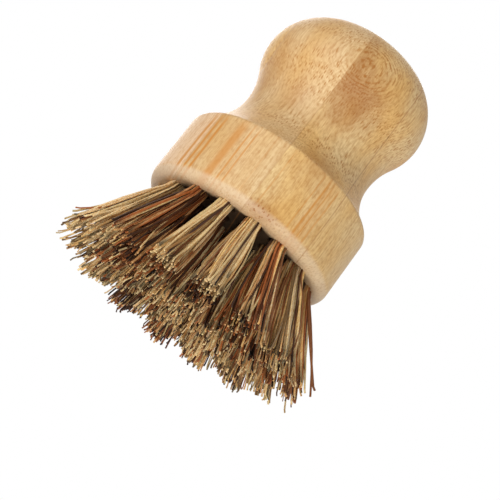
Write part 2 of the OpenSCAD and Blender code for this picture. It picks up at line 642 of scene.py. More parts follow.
    def streaked(self, sheet: Sheet, place: Socket, in_mm: Socket, colour: Socket) -> Socket:
        """Adds the streaks.

        Args:
            sheet: The material's sheet.
            place: The bent place in mm.
            in_mm: The place in mm.
            colour: The wood's colour so far.

        Returns:
            The colour's socket.
        """
        bent_x, _, _ = sheet.split(place)
        _, _, z = sheet.split(in_mm)
        for streak in self.streaks:
            line = sheet.line(bent_x, streak.x, streak.width, streak.width * 0.2)
            low = sheet.ramp(z, streak.top, streak.top - streak.fade)
            colour = sheet.mix(sheet.times(line, low, streak.strength), colour, self.line)
        return colour

    def marked(self, sheet: Sheet, in_mm: Socket, colour: Socket) -> Socket:
        """Adds the paler lower edge, partly painted light, the darker places and the painted shade on the
        underside.

        Args:
            sheet: The material's sheet.
            in_mm: The place in mm.
            colour: The wood's colour so far.

        Returns:
            The colour's socket.
        """
        _, _, z = sheet.split(in_mm)
        _, _, facing_up = sheet.split(sheet.coordinate("Normal"))
        ragged = sheet.noise(in_mm, (1.0, 1.0, 0.5), scale=0.45, detail=4.0)
        specks = sheet.ramp(sheet.cells(in_mm, (1.5, 1.5, 0.9)), 0.42, 0.18)
        low = sheet.ramp(z, self.edge_z, self.edge_z - 1)
        # Partly painted light: faces that look down near the lower edge are made paler, as if lit from below,
        # on top of the end grain's own paleness.
        sanded_and_lit = sheet.times(sheet.ramp(facing_up, -0.1, -0.5), low)
        colour = sheet.mix(sheet.times(sanded_and_lit, 0.55), colour, self.edge)
        pores = sheet.times(specks, sanded_and_lit, sheet.spread(ragged, 0.0, 0.5))
        colour = sheet.mix(pores, colour, self.bundle)
        for blotch in self.blotches:
            offset = sheet.vector("DIVIDE", sheet.vector("SUBTRACT", in_mm, blotch.centre), blotch.reach)
            inside = sheet.ramp(sheet.math("ADD", sheet.vector("LENGTH", offset), ragged), 2.0, 0.65)
            solid = sheet.math("ADD", 1 - blotch.speckle, sheet.times(specks, blotch.speckle))
            colour = sheet.mix(sheet.times(inside, solid, blotch.strength), colour, self.stain)
        # Painted shade: the underside within the ring of tufts is darkened nearly to black, where the tufts
        # shade it.
        radius = sheet.vector("LENGTH", sheet.stretched(in_mm, (1.0, 1.0, 0.0)))
        radius = sheet.math("ADD", radius, sheet.spread(ragged, -2.0, 2.0))
        painted_underside_shade = sheet.times(sheet.ramp(radius, self.shaded_r, self.shaded_r - 2), low, 0.97)
        return sheet.mix(painted_underside_shade, colour, self.underside)

    def glued(self, sheet: Sheet, in_mm: Socket, colour: Socket) -> Socket:
        """Adds the board's glue lines.

        Args:
            sheet: The material's sheet.
            in_mm: The place in mm.
            colour: The wood's colour so far.

        Returns:
            The colour's socket.
        """
        x, _, _ = sheet.split(in_mm)
        for glue_x, strength in self.glue:
            share = sheet.times(sheet.line(x, glue_x, width=0.2, core=0.06), strength)
            colour = sheet.mix(share, colour, self.glue_line)
        return colour


@dataclass(frozen=True)
class FibreFinish:
    """Stiff plant fibre, whose colour and length are read from each fibre's own attributes.

    Attributes:
        name: Name of the material.
        slot: The record's material slot; not used.
        colour_attribute: Attribute that holds each fibre's colour.
        length_attribute: Attribute that runs from 0 at a fibre's root to 1 at its tip.
        darkening: What the fibre's darker streaks are multiplied by.
        root: Colour of the painted shade that darkens the fibres at their roots, in the bores' mouths.
        roughness: Roughness from the smoothest to the roughest patch.
        shine: Strength of the surface's reflection, from 0 to 1.
        relief: Height of the fibre's ridges, in metres.
    """

    name: str = "plant_fibre"
    slot: str = "plant_fibre"
    colour_attribute: str = "fibre_colour"
    length_attribute: str = "fibre_along"
    darkening: Colour = tone(228, 200, 164)
    # Painted shade at the fibres' roots.
    root: Colour = tone(44, 30, 20)
    roughness: tuple[float, float] = (0.5, 0.75)
    shine: float = 0.25
    relief: float = 0.1 * MM

    def material(self) -> bpy.types.Material:
        """Makes the material.

        Returns:
            The material that all the tufts share.
        """
        sheet = Sheet(self.name)
        own = sheet.add("ShaderNodeAttribute", attribute_name=self.colour_attribute).outputs["Color"]
        along = sheet.add("ShaderNodeAttribute", attribute_name=self.length_attribute).outputs["Fac"]
        in_mm = sheet.place_mm()
        streaks = sheet.noise(in_mm, (5.0, 5.0, 0.35))
        patches = sheet.noise(in_mm, (1.1, 1.1, 0.25), detail=2.0)
        darker = sheet.mix(1.0, own, self.darkening, "MULTIPLY")
        colour = sheet.mix(sheet.ramp(streaks, 0.35, 0.68), own, darker)
        colour = sheet.mix(sheet.times(sheet.ramp(patches, 0.5, 0.75), 0.4), colour, darker)
        # Painted shade: the fibres darken towards their roots, where the bores' mouths shade them.
        painted_root_shade = sheet.times(sheet.ramp(along, 0.17, 0.05), 0.75)
        colour = sheet.mix(painted_root_shade, colour, self.root)
        sheet.finish(colour, sheet.spread(patches, *self.roughness), shine=self.shine)
        sheet.bump(streaks, strength=0.35, distance=self.relief)
        return sheet.material


@dataclass(frozen=True)
class WireFinish:
    """Drawn steel wire with fine lines along it.

    Attributes:
        name: Name of the material.
        bright: Colour of the bright steel.
        dull: Colour of the drawing lines.
        roughness: Roughness from the smoothest to the roughest line.
    """

    name: str = "staple_wire"
    bright: Colour = tone(196, 198, 200)
    dull: Colour = tone(150, 152, 156)
    roughness: tuple[float, float] = (0.25, 0.45)

    def material(self) -> bpy.types.Material:
        """Makes the material.

        Returns:
            The material that all the staples share.
        """
        sheet = Sheet(self.name)
        lines = sheet.noise(sheet.coordinate("Object"), (9000.0, 9000.0, 300.0))
        colour = sheet.mix(sheet.ramp(lines, 0.3, 0.7), self.bright, self.dull)
        sheet.finish(colour, sheet.spread(lines, *self.roughness), metal=1.0)
        return sheet.material


@dataclass
class TurnedProfile:
    """Half of the handle's outline: a chain of arcs, each tangent to the next.

    Attributes:
        collar_r: Radius of the collar.
        bottom_z: Height of the underside.
        top_z: Height of the dome's top.
        collar_h: Height of the collar up to its shoulder.
        edge_r: Radius of the underside's rounded edge.
        shoulder_r: Radius of the shoulder.
        cove_r: Radius of the hollow above the shoulder.
        waist_r: Radius at the waist.
        neck_r: Radius of the hollow below the knob.
        knob_r: Largest radius of the knob.
        knob_side_r: Radius of the knob's rounded side.
        dome_r: Radius of the dome.
        step: Angle between two points of an arc, in degrees.
        collar_rows: Number of rows of faces up the collar's side.
    """

    collar_r: float
    bottom_z: float
    top_z: float
    collar_h: float = 17.7 * MM
    edge_r: float = 3.0 * MM
    shoulder_r: float = 1.3 * MM
    cove_r: float = 15.3 * MM
    waist_r: float = 18.1 * MM
    neck_r: float = 21.0 * MM
    knob_r: float = 22.2 * MM
    knob_side_r: float = 12.7 * MM
    dome_r: float = 43.0 * MM
    step: float = 3.0
    collar_rows: int = 6

    def arc(self, centre: tuple[float, float], radius: float, start: float, end: float) -> Outline:
        """Lists the points of an arc.

        Args:
            centre: The arc's centre, as radius and height.
            radius: The arc's radius.
            start: Angle of its first point, in degrees.
            end: Angle of its last point, in degrees.

        Returns:
            The points, as radius and height.
        """
        count = max(2, round(abs(end - start) / self.step))
        angles = [math.radians(start + (end - start) * i / count) for i in range(count + 1)]
        return [(centre[0] + radius * math.cos(a), centre[1] + radius * math.sin(a)) for a in angles]

    def points(self) -> Outline:
        """Lists the outline from the underside's centre to the dome's top.

        Returns:
            The points, as radius and height, with no point twice.
        """
        shoulder_z = self.bottom_z + self.collar_h
        cove = math.degrees(math.acos(1 - (self.collar_r - self.waist_r) / (self.shoulder_r + self.cove_r)))
        waist_z = shoulder_z + (self.shoulder_r + self.cove_r) * math.sin(math.radians(cove))
        neck = math.degrees(math.acos(1 - (self.knob_r - self.waist_r) / (self.neck_r + self.knob_side_r)))
        knob_z = waist_z + (self.neck_r + self.knob_side_r) * math.sin(math.radians(neck))
        dome = math.degrees(math.acos((self.knob_r - self.knob_side_r) / (self.dome_r - self.knob_side_r)))
        edge_z = self.bottom_z + self.edge_r
        flat_r = self.collar_r - self.edge_r
        rows = self.collar_rows
        rise = [edge_z + (shoulder_z - edge_z) * i / rows for i in range(1, rows)]
        outline = [(0.0, self.bottom_z), (flat_r * 0.98, self.bottom_z)]
        outline += self.arc((flat_r, edge_z), self.edge_r, -90, 0)
        outline += [(self.collar_r, z) for z in rise]
        outline += self.arc((self.collar_r - self.shoulder_r, shoulder_z), self.shoulder_r, 0, cove)
        outline += self.arc((self.waist_r + self.cove_r, waist_z), self.cove_r, 180 + cove, 180)[1:]
        outline += self.arc((self.waist_r + self.neck_r, waist_z), self.neck_r, 180, 180 - neck)[1:]
        outline += self.arc((self.knob_r - self.knob_side_r, knob_z), self.knob_side_r, -neck, dome)[1:]
        outline += self.arc((0.0, self.top_z - self.dome_r), self.dome_r, dome, 90)[1:-1]
        return outline + [(0.0, self.top_z)]


@dataclass(frozen=True)
class TuftPlace:
    """Where one tuft stands.

    Attributes:
        node: The tuft's CAD node.
        ring_r: Radius of its ring.
        angle: Its direction from the handle's axis, in radians.
    """

    node: str
    ring_r: float
    angle: float


@dataclass
class TuftPlan:
    """Where the tufts stand in the collar's underside.

    Attributes:
        bottom_z: Height of the underside.
        bore_r: Radius of a bore.
        bore_depth: Depth of a bore.
        rings: Name, radius and number of tufts of each ring.
        first_angle: Direction of each ring's first tuft, in degrees.
    """

    bottom_z: float
    bore_r: float = 2.4 * MM
    bore_depth: float = 12.0 * MM
    rings: tuple[tuple[str, float, int], ...] = (
        ("outer", 18.8 * MM, 16),
        ("middle", 12.5 * MM, 11),
        ("inner", 6.2 * MM, 6),
    )
    first_angle: float = -86.0

    def places(self) -> list[TuftPlace]:
        """Lists the tufts.

        Returns:
            The place of each tuft, ring by ring, with the centre's last.
        """
        found = [
            TuftPlace(f"tuft_{ring}_{i + 1}", radius, math.radians(self.first_angle + 360 * i / count))
            for ring, radius, count in self.rings
            for i in range(count)
        ]
        return found + [TuftPlace("tuft_centre", 0.0, math.radians(self.first_angle))]


def frame_glue_lines() -> Triple:
    """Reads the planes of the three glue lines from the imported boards.

    Returns:
        The X of each glue line.
    """
    left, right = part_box("board_left"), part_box("board_right")
    return left[0].x, left[1].x, right[1].x


@dataclass
class Handle:
    """The turned handle, cut into its glued boards and bored for the tufts.

    Attributes:
        profile: The turned outline.
        plan: The tufts' places.
        finishes: The finish of each board, by its CAD node.
        turns: Number of steps in the full turn.
        bore_sides: Number of sides of a bore.
        chamfer: Width of the chamfer at a bore's mouth.
        overrun: How far a drill shape starts below the underside.
        smooth_angle: Angle between faces up to which the boards are shaded smooth, in degrees.
    """

    profile: TurnedProfile
    plan: TuftPlan
    finishes: dict[str, BambooFinish]
    turns: int = 180
    bore_sides: int = 40
    chamfer: float = 0.25 * MM
    overrun: float = 1.0 * MM
    smooth_angle: float = 35.0

    def blank(self) -> Piece:
        """Turns the whole handle as one closed solid.

        Returns:
            The turned blank.
        """
        outline = self.profile.points()
        mesh = bpy.data.meshes.new("turned_blank")
        edges = [(i, i + 1) for i in range(len(outline) - 1)]
        mesh.from_pydata([(r, 0.0, z) for r, z in outline], edges, [])
        piece = new_piece("turned_blank", mesh)
        edit_all(piece)
        bpy.ops.mesh.spin(steps=self.turns, angle=2 * math.pi, center=(0, 0, 0), axis=(0, 0, 1))
        bpy.ops.mesh.select_all(action="SELECT")
        bpy.ops.mesh.remove_doubles(threshold=0.005 * MM)
        bpy.ops.mesh.normals_make_consistent(inside=False)
        bpy.ops.object.mode_set(mode="OBJECT")
        return piece

    def drill(self) -> Piece:
        """Models one drill shape on the handle's axis, which widens to a chamfer at the bore's mouth.

        Returns:
            The drill shape.
        """
        plan = self.plan
        low_z = plan.bottom_z - self.overrun
        deselect_all()
        bpy.ops.mesh.primitive_cylinder_add(
            vertices=self.bore_sides, radius=plan.bore_r, depth=plan.bore_depth + self.overrun,
            location=(0, 0, plan.bottom_z + (plan.bore_depth - self.overrun) / 2),
        )
        drill = bpy.context.object
        bpy.ops.object.transform_apply(location=True, rotation=True, scale=True)
        bpy.ops.object.mode_set(mode="EDIT")
        shape = bmesh.from_edit_mesh(drill.data)
        for face in shape.faces:
            face.select = face.calc_center_median().z < low_z + 0.1 * MM and abs(face.normal.z) > 0.5
        bmesh.update_edit_mesh(drill.data)
        bpy.ops.transform.translate(value=(0, 0, self.overrun + self.chamfer))
        down = (0, 0, -self.chamfer - 0.05 * MM)
        bpy.ops.mesh.extrude_region_move(TRANSFORM_OT_translate={"value": down})
        wider = (plan.bore_r + self.chamfer) / plan.bore_r
        bpy.ops.transform.resize(value=(wider, wider, 1.0))
        bpy.ops.object.mode_set(mode="OBJECT")
        return drill

    def cutters(self) -> Piece:
        """Copies the drill shape to every tuft's place, as one set.

        Returns:
            The drill shapes.
        """
        drill = self.drill()
        copies = []
        for place in self.plan.places():
            copy = new_piece(drill.name, drill.data.copy())
            aside = (place.ring_r * math.cos(place.angle), place.ring_r * math.sin(place.angle), 0.0)
            copy.data.transform(Matrix.Translation(aside))
            copies.append(copy)
        bpy.data.objects.remove(drill)
        deselect_all()
        for copy in copies:
            copy.select_set(True)
        bpy.context.view_layer.objects.active = copies[0]
        bpy.ops.object.join()
        return bpy.context.object

    def limits(self, node: str) -> list[tuple[Triple, Triple]]:
        """Finds the planes that bound a board.

        Args:
            node: The board's CAD node.

        Returns:
            A point of each plane and the direction from it into the board.
        """
        low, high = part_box(node)
        found = []
        for x in frame_glue_lines():
            for side_x, inward in ((low.x, 1), (high.x, -1)):
                if abs(side_x - x) < SAME_PLANE:
                    found.append(((x, 0, 0), (inward, 0, 0)))
        between_z = (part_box("ply_left_collar")[1].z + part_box("ply_left_knob")[0].z) / 2
        if node == "ply_left_collar":
            found.append(((0, 0, between_z), (0, 0, -1)))
        if node == "ply_left_knob":
            found.append(((0, 0, between_z), (0, 0, 1)))
        return found

    def board(self, blank: Piece, node: str) -> Piece:
        """Cuts one board out of the blank, between the limits of its CAD node.

        Args:
            blank: The turned blank, which is kept.
            node: The board's CAD node.

        Returns:
            The board.
        """
        board = new_piece(f"{node}_turned", blank.data.copy())
        board.data.name = board.name
        for point, inward in self.limits(node):
            edit_all(board)
            bpy.ops.mesh.bisect(plane_co=point, plane_no=inward, use_fill=True, clear_inner=True)
            bpy.ops.object.mode_set(mode="OBJECT")
        return board

    def bore(self, board: Piece, cutters: Piece) -> None:
        """Bores a board.

        Args:
            board: The board.
            cutters: The drill shapes.
        """
        bores = board.modifiers.new("bores", "BOOLEAN")
        bores.operation = "DIFFERENCE"
        bores.solver = "EXACT"
        bores.object = cutters
        activate(board)
        bpy.ops.object.modifier_apply(modifier=bores.name)

    def build(self) -> None:
        """Builds and dresses the boards."""
        blank = self.blank()
        cutters = self.cutters()
        for node, finish in self.finishes.items():
            board = self.board(blank, node)
            if node != "ply_left_knob":
                self.bore(board, cutters)
            activate(board)
            bpy.ops.object.shade_smooth_by_angle(angle=math.radians(self.smooth_angle))
            finish.dress(board)
            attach(board, BODY)
            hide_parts(node)
            log.info("%s: %d faces", board.name, len(board.data.polygons))
        bpy.data.objects.remove(blank)
        bpy.data.objects.remove(cutters)


class Fibre(Enum):
    """The kinds of fibre, by their colour."""

    CREAM = tone(255, 230, 176)
    STRAW = tone(250, 208, 142)
    TAN = tone(228, 178, 122)
    GREY = tone(200, 176, 138)
    RUSSET = tone(190, 116, 64)
    BROWN = tone(146, 94, 56)
    DARK = tone(72, 46, 30)


class Blend(Enum):
    """What a tuft is made of: the kinds of fibre and their shares."""

    CREAM = {Fibre.CREAM: 72, Fibre.STRAW: 16, Fibre.TAN: 5, Fibre.BROWN: 4, Fibre.DARK: 3}
    STRAW = {
        Fibre.CREAM: 36, Fibre.STRAW: 24, Fibre.TAN: 14, Fibre.GREY: 4,
        Fibre.RUSSET: 6, Fibre.BROWN: 8, Fibre.DARK: 8,
    }
    MIXED = {
        Fibre.CREAM: 46, Fibre.STRAW: 18, Fibre.TAN: 11, Fibre.GREY: 3,
        Fibre.RUSSET: 8, Fibre.BROWN: 6, Fibre.DARK: 8,
    }
    RUSSET = {
        Fibre.CREAM: 16, Fibre.STRAW: 12, Fibre.TAN: 12,
        Fibre.RUSSET: 26, Fibre.BROWN: 18, Fibre.DARK: 16,
    }
    DARK = {
        Fibre.CREAM: 5, Fibre.STRAW: 7, Fibre.TAN: 10,
        Fibre.RUSSET: 18, Fibre.BROWN: 26, Fibre.DARK: 34,
    }


@dataclass(frozen=True)
class Stray:
    """One long fibre that stands apart from its tuft.

    Attributes:
        tip: X and Y of its tip, in mm.
        kind: Its kind.
        bend_power: How late along its length it turns aside.
    """

    tip: tuple[float, float]
    kind: Fibre
    bend_power: float = 1.3


@dataclass(frozen=True)
class Disorder:
    """How far a tuft's fibres differ from one another.

    Attributes:
        packing: How far a root strays from its place, as a share of the gap between fibres.
        short: Most that a usual fibre is short of the tips' plane.
        short_shape: The two powers of the beta spread of that shortness.
        stub_share: Share of fibres that are cut off short.
        stub_short: Least and most that such a fibre is short.
        stray: Usual distance of a tip from its place.
        far_share: Share of fibres that stray far.
        far_stray: Usual distance of such a fibre's tip.
        stray_power: How late along a fibre its straying shows.
        curl: Usual distance that a fibre bows out midway.
        flick: Usual distance that the last cut turns a tip aside.
        flatness: Least and most height of a fibre's section over its width.
        thickness: Least and most thickness, as a share of the usual one.
        taper: Share of its thickness that a fibre loses to its tip.
        brightness: Least and most brightness of a fibre.
        tint: Least and most that each channel of its colour is multiplied by.
        shaded_share: Share of fibres that are darkened at random, as painted shade among the fibres.
        shaded: Least and most brightness of such a darkened fibre.
        shaded_tint: Warm tint of the painted shade on such a fibre.
        tip_tones: Brightness of the cut ends, one of which each fibre gets.
        tip_start: Where along a fibre its cut end begins, from 0 to 1.
    """

    packing: float = 0.12
    short: float = 2.0 * MM
    short_shape: tuple[float, float] = (1.2, 2.2)
    stub_share: float = 0.05
    stub_short: tuple[float, float] = (1.5, 4.5)
    stray: float = 0.9 * MM
    far_share: float = 0.04
    far_stray: float = 2.4 * MM
    stray_power: float = 1.5
    curl: float = 0.6 * MM
    flick: float = 0.16 * MM
    flatness: tuple[float, float] = (0.6, 1.0)
    thickness: tuple[float, float] = (0.72, 1.25)
    taper: float = 0.2
    brightness: tuple[float, float] = (0.84, 1.0)
    tint: tuple[float, float] = (0.93, 1.0)
    shaded_share: float = 0.16
    shaded: tuple[float, float] = (0.2, 0.5)
    shaded_tint: Triple = (1.0, 0.82, 0.64)
    tip_tones: tuple[float, ...] = (0.2, 0.65, 1.0, 1.0)
    tip_start: float = 0.95


@dataclass(frozen=True)
class FibreModel:
    """One straight fibre, which all the others are bent from.

    Attributes:
        corners: Direction of each corner from the fibre's middle line.
        rings: Number of the ring that each corner is in, from the root.
        faces: The corners of each face.
    """

    corners: np.ndarray
    rings: np.ndarray
    faces: list[tuple[int, ...]]


@dataclass
class Tufts:
    """The tufts of fibre, each splaying from its bore to the trimmed tips.

    Attributes:
        plan: The tufts' places.
        finish: The fibres' finish.
        disorder: How far the fibres differ.
        spread_d: Diameter over the tips.
        tuft_tip_d: Diameter that one tuft splays to, outwards from the handle's axis.
        sideways_tip_d: Diameter that it splays to, sideways.
        root_r: Radius of the fibres packed in a bore.
        lean: How early a tuft begins to lean outwards, as a share of its free length.
        bow_power: How late along its length a tuft leans, where 1 is a straight tuft.
        fibre_r: Usual radius of a fibre.
        fibre_gap: Distance between fibres packed in the bore.
        root_depth: How far up the bore the fibres are modelled.
        sides: Sides of a fibre.
        stretches: Where the rings of a fibre's corners are, from 0 at its root to 1 at its tip.
        smooth_angle: Angle between faces up to which a fibre is shaded smooth, in degrees.
        blends: The blend of each tuft that the photograph shows.
        strays: The long fibres that stand apart, by their tufts.
        seed: Seed of all the random choices.
    """

    plan: TuftPlan
    finish: FibreFinish
    disorder: Disorder
    spread_d: float = 70.0 * MM
    tuft_tip_d: float = 11.5 * MM
    sideways_tip_d: float = 6.6 * MM
    root_r: float = 1.9 * MM
    lean: float = 0.07
    bow_power: float = 1.06
    fibre_r: float = 0.29 * MM
    fibre_gap: float = 0.43 * MM
    root_depth: float = 3.0 * MM
    sides: int = 5
    stretches: np.ndarray = field(default_factory=lambda: np.array([0, 0.2, 0.4, 0.6, 0.8, 0.975, 1.0]))
    smooth_angle: float = 75.0
    blends: dict[str, Blend] = field(default_factory=lambda: {
        "tuft_outer_13": Blend.CREAM,
        "tuft_outer_14": Blend.CREAM,
        "tuft_outer_15": Blend.RUSSET,
        "tuft_outer_16": Blend.CREAM,
        "tuft_outer_1": Blend.CREAM,
        "tuft_outer_2": Blend.RUSSET,
        "tuft_outer_3": Blend.STRAW,
        "tuft_outer_4": Blend.MIXED,
        "tuft_outer_5": Blend.RUSSET,
        # The middle tufts, seen in the gaps between the outer ones, take dark blends: partly dark fibre,
        # partly painted shade in those gaps.
        "tuft_middle_1": Blend.DARK,
        "tuft_middle_2": Blend.RUSSET,
        "tuft_middle_3": Blend.DARK,
        "tuft_middle_9": Blend.RUSSET,
        "tuft_middle_10": Blend.DARK,
        "tuft_middle_11": Blend.RUSSET,
    })
    strays: dict[str, tuple[Stray, ...]] = field(default_factory=lambda: {
        "tuft_outer_4": (
            Stray((33.2, -9.8), Fibre.DARK),
            Stray((34.2, -15.8), Fibre.BROWN),
            Stray((34.8, -9.1), Fibre.BROWN),
        ),
        "tuft_outer_13": (Stray((-31.5, -19.2), Fibre.RUSSET),),
    })
    seed: int = 7

    def model(self) -> FibreModel:
        """Models one straight fibre.

        Returns:
            The fibre, of length 1 and radius 1.
        """
        last = len(self.stretches) - 1
        deselect_all()
        bpy.ops.mesh.primitive_cylinder_add(vertices=self.sides, radius=1.0, depth=1.0, location=(0, 0, -0.5))
        piece = bpy.context.object
        bpy.ops.object.transform_apply(location=True, rotation=True, scale=True)
        bpy.ops.object.mode_set(mode="EDIT")
        shape = bmesh.from_edit_mesh(piece.data)
        for edge in shape.edges:
            edge.select = abs(edge.verts[0].co.z - edge.verts[1].co.z) > 0.5
        bmesh.update_edit_mesh(piece.data)
        bpy.ops.mesh.subdivide(number_cuts=last - 1)
        bpy.ops.object.mode_set(mode="OBJECT")
        corners = np.array([v.co for v in piece.data.vertices])
        rings = np.rint(-corners[:, 2] * last).astype(int)
        faces = [tuple(p.vertices) for p in piece.data.polygons]
        bpy.data.objects.remove(piece)
        return FibreModel(corners[:, :2], rings, faces)

    def roots(self, random: np.random.Generator) -> np.ndarray:
        """Packs the fibres' roots into a bore.

        Args:
            random: The tuft's own random numbers.

        Returns:
            The roots' places in the bore, one row each.
        """
        reach = int(self.root_r / self.fibre_gap) + 2
        rows = [
            ((i + 0.5 * (j % 2)) * self.fibre_gap, j * self.fibre_gap * math.sqrt(3) / 2)
            for i in range(-reach, reach + 1)
            for j in range(-reach, reach + 1)
        ]
        packing = self.disorder.packing
        grid = np.array(rows) + random.uniform(-packing, packing, (len(rows), 2)) * self.fibre_gap
        return grid[np.hypot(*grid.T) < self.root_r]

    def heights(self, count: int, random: np.random.Generator) -> np.ndarray:
        """Trims the fibres unevenly.

        Args:
            count: Number of fibres.
            random: The tuft's own random numbers.

        Returns:
            The height of each ring of each fibre.
        """
        rise = self.root_depth + self.plan.bottom_z
        short = self.disorder.short * random.beta(*self.disorder.short_shape, count)
        stubs = random.random(count) < self.disorder.stub_share
        short[stubs] += random.uniform(*self.disorder.stub_short, stubs.sum()) * MM
        return rise - (rise - short)[:, None] * self.stretches[None, :]

    def paths(self, roots: np.ndarray, ring_r: float, random: np.random.Generator) -> np.ndarray:
        """Bends each fibre from its root to its tip.

        Args:
            roots: The roots' places in the bore.
            ring_r: Radius of the tuft's ring.
            random: The tuft's own random numbers.

        Returns:
            The points of each fibre's middle line, with the tuft's direction along X.
        """
        count = len(roots)
        height = self.heights(count, random)
        fall = np.clip((self.plan.bottom_z - height) / self.plan.bottom_z, -0.15, 1)
        bow = (np.maximum(fall + self.lean, 0) / (1 + self.lean)) ** self.bow_power
        tip_r = (self.spread_d - self.tuft_tip_d) / 2
        outer_ring_r = self.plan.rings[0][1]
        outward = ring_r + (tip_r * ring_r / outer_ring_r - ring_r) * bow
        outward_splay = 1 + (self.tuft_tip_d / 2 / self.root_r - 1) * bow
        sideways_splay = 1 + (self.sideways_tip_d / 2 / self.root_r - 1) * bow
        stray = random.normal(0, self.disorder.stray, (count, 2))
        far = random.random(count) < self.disorder.far_share
        stray[far] += random.normal(0, self.disorder.far_stray, (far.sum(), 2))
        curl = random.normal(0, self.disorder.curl, (count, 2))
        freed = np.maximum(fall, 0) ** self.disorder.stray_power
        arch = 4 * np.clip(fall, 0, 1) * (1 - np.clip(fall, 0, 1))
        x = outward + roots[:, :1] * outward_splay + stray[:, :1] * freed + curl[:, :1] * arch
        y = roots[:, 1:] * sideways_splay + stray[:, 1:] * freed + curl[:, 1:] * arch
        x[:, -1] += random.normal(0, self.disorder.flick, count)
        y[:, -1] += random.normal(0, self.disorder.flick, count)
        return np.stack([x, y, height], axis=2)

    def colours(self, count: int, blend: Blend, random: np.random.Generator) -> np.ndarray:
        """Picks each fibre's colour from its tuft's blend.

        Args:
            count: Number of fibres.
            blend: The tuft's blend.
            random: The tuft's own random numbers.

        Returns:
            A linear colour for each fibre.
        """
        chance = self.disorder
        weights = np.array(list(blend.value.values()), float)
        picks = random.choice(list(blend.value), count, p=weights / weights.sum())
        base = np.array([kind.value[:3] for kind in picks])
        brightness = random.uniform(*chance.brightness, (count, 1)) * random.uniform(*chance.tint, (count, 3))
        # Painted shade: some fibres, picked at random, take a darkened, warm-tinted copy of their colour.
        shaded = random.random(count) < chance.shaded_share
        brightness[shaded] = random.uniform(*chance.shaded, (shaded.sum(), 1)) * np.array(chance.shaded_tint)
        return base * brightness

    def lead_strays(self, node: str, middle: np.ndarray, colours: np.ndarray) -> None:
        """Bends the nearest fibre to each of the tuft's strays and gives it the stray's colour.

        Args:
            node: The tuft's CAD node.
            middle: The points of the middle lines, which are changed.
            colours: The fibres' colours, which are changed.
        """
        for stray in self.strays.get(node, ()):
            aside = np.array(stray.tip) * MM - middle[:, -1, :2]
            nearest = np.argmin(np.hypot(*aside.T))
            middle[nearest, :, :2] += self.stretches[:, None] ** stray.bend_power * aside[nearest]
            colours[nearest] = stray.kind.value[:3]

    def corners(self, model: FibreModel, middle: np.ndarray, random: np.random.Generator) -> np.ndarray:
        """Places the model's corners around each fibre's middle line.

        Args:
            model: The straight fibre.
            middle: The points of the middle lines.
            random: The tuft's own random numbers.

        Returns:
            The place of each corner of each fibre.
        """
        chance, count = self.disorder, len(middle)
        ahead = np.gradient(middle, axis=1)
        ahead /= np.linalg.norm(ahead, axis=2, keepdims=True)
        side = np.cross(ahead, np.array([1.0, 0.0, 0.0]))
        side /= np.linalg.norm(side, axis=2, keepdims=True)
        front = np.cross(side, ahead)
        twist = random.uniform(0, 2 * math.pi, count)[:, None]
        flat = random.uniform(*chance.flatness, count)[:, None]
        thick = self.fibre_r * random.uniform(*chance.thickness, count)[:, None]
        cosine, sine = np.cos(twist), np.sin(twist)
        wide, high = model.corners[None, :, 0], model.corners[None, :, 1]
        across = wide * cosine - high * flat * sine
        upright = wide * sine + high * flat * cosine
        taper = 1 - chance.taper * self.stretches[model.rings]
        points = (
            middle[:, model.rings]
            + side[:, model.rings] * (across * thick * taper)[:, :, None]
            + front[:, model.rings] * (upright * thick * taper)[:, :, None]
        )
        points[:, :, 2] = np.maximum(points[:, :, 2], 0)
        return points

    def tuft(self, place: TuftPlace, index: int, model: FibreModel) -> Piece:
        """Builds one tuft.

        Args:
            place: Where the tuft stands.
            index: Its place in the list of tufts.
            model: The straight fibre.

        Returns:
            The tuft.
        """
        random = np.random.default_rng(self.seed * 1000 + index)
        in_outer_ring = place.node.startswith("tuft_outer")
        default = list(Blend)[index % len(Blend)] if in_outer_ring else Blend.MIXED
        middle = self.paths(self.roots(random), place.ring_r, random)
        cosine, sine = math.cos(place.angle), math.sin(place.angle)
        middle[:, :, :2] = middle[:, :, :2] @ np.array([[cosine, -sine], [sine, cosine]]).T
        count, sides = len(middle), len(model.corners)
        colours = self.colours(count, self.blends.get(place.node, default), random)
        self.lead_strays(place.node, middle, colours)
        points = self.corners(model, middle, random)
        faces = [tuple(c + k * sides for c in face) for k in range(count) for face in model.faces]
        mesh = bpy.data.meshes.new(f"{place.node}_fibres")
        mesh.from_pydata(points.reshape(-1, 3).tolist(), [], faces)
        along = np.tile(self.stretches[model.rings], count)
        at_tip = along > self.disorder.tip_start
        shades = np.repeat(colours, sides, axis=0)
        tip_tone = np.repeat(random.choice(self.disorder.tip_tones, count), sides)
        shades[at_tip] *= tip_tone[at_tip, None]
        colour = mesh.attributes.new(self.finish.colour_attribute, "FLOAT_COLOR", "POINT")
        colour.data.foreach_set("color", np.c_[shades, np.ones(len(shades))].astype(np.float32).ravel())
        length = mesh.attributes.new(self.finish.length_attribute, "FLOAT", "POINT")
        length.data.foreach_set("value", along.astype(np.float32))
        piece = new_piece(mesh.name, mesh)
        edit_all(piece)
        bpy.ops.mesh.normals_make_consistent(inside=False)
        bpy.ops.object.mode_set(mode="OBJECT")
        bpy.ops.object.shade_smooth_by_angle(angle=math.radians(self.smooth_angle))
        return piece

    def build(self) -> None:
        """Builds and dresses all the tufts."""
        material = self.finish.material()
        model = self.model()
        for index, place in enumerate(self.plan.places()):
            node = place.node
            piece = self.tuft(place, index, model)
            wear(piece, material)
            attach(piece, BODY)
            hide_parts(node)
            log.info("%s: %d faces", piece.name, len(piece.data.polygons))


@dataclass
class Staples:
    """The wire staples inside the bores, kept from the CAD model with a finish of their own.

    Attributes:
        finish: The wire's finish.
        nodes: The staples' CAD nodes.
    """

    finish: WireFinish
    nodes: tuple[str, ...] = ("staples_outer", "staples_middle", "staples_inner", "staple_centre")

    def build(self) -> None:
        """Dresses the staples."""
        wire = self.finish.material()
        for node in self.nodes:
            wear(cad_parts[node], wire)
            log.info("%s: dressed", node)


